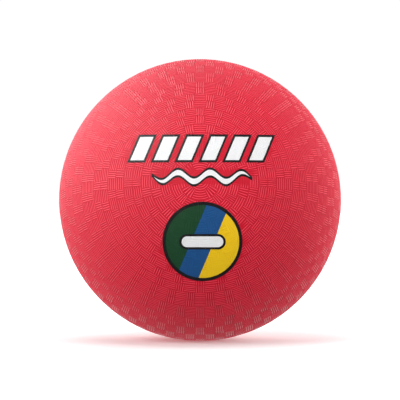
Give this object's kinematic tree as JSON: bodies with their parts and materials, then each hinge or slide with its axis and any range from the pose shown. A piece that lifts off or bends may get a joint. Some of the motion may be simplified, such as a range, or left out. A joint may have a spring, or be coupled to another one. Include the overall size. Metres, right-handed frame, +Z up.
{
  "type": "playground rubber ball",
  "caption": "Inflatable round playground ball with a moulded basket-weave rubber cover, a thread-wound carcass, a bladder and a needle valve.",
  "frame": {"origin": "centre of the ball, which is the centre of the cover's outer sphere", "axes": "+Z up; the printed side faces -Y; +X is to the right as the print is read; the needle valve is on the +Y side, its axis 7.5 degrees below the horizontal"},
  "size_m": [0.2154, 0.2158, 0.2151],
  "materials": {
    "cover_rubber": "satin moulded rubber, red, with a fine raised basket weave",
    "nylon_thread": "wound off-white nylon thread",
    "butyl_rubber": "smooth black butyl",
    "patch_rubber": "matt dark patch rubber",
    "housing_rubber": "satin black moulded rubber",
    "plug_rubber": "slightly shiny soft black rubber"
  },
  "bodies": {
    "ball": {"cover": "cover_rubber", "nylon_winding": "nylon_thread", "bladder": "butyl_rubber", "valve_patch": "patch_rubber", "valve_housing": "housing_rubber", "valve_plug": "plug_rubber"},
    "lower_lip": {"slit_lip_lower": "plug_rubber"},
    "upper_lip": {"slit_lip_upper": "plug_rubber"}
  },
  "joints": [
    {"name": "slit_open_lower", "type": "hinge", "parent": "ball", "child": "lower_lip", "pos_m": [0, 0.0899, -0.01431], "axis": [1, 0, 0], "range_deg": [0, 12]},
    {"name": "slit_open_upper", "type": "hinge", "parent": "ball", "child": "upper_lip", "pos_m": [0, 0.09054, -0.00945], "axis": [-1, 0, 0], "range_deg": [0, 12]}
  ],
  "couplings": [
    {"joint": "slit_open_upper", "follows": "slit_open_lower", "ratio": 1}
  ]
}
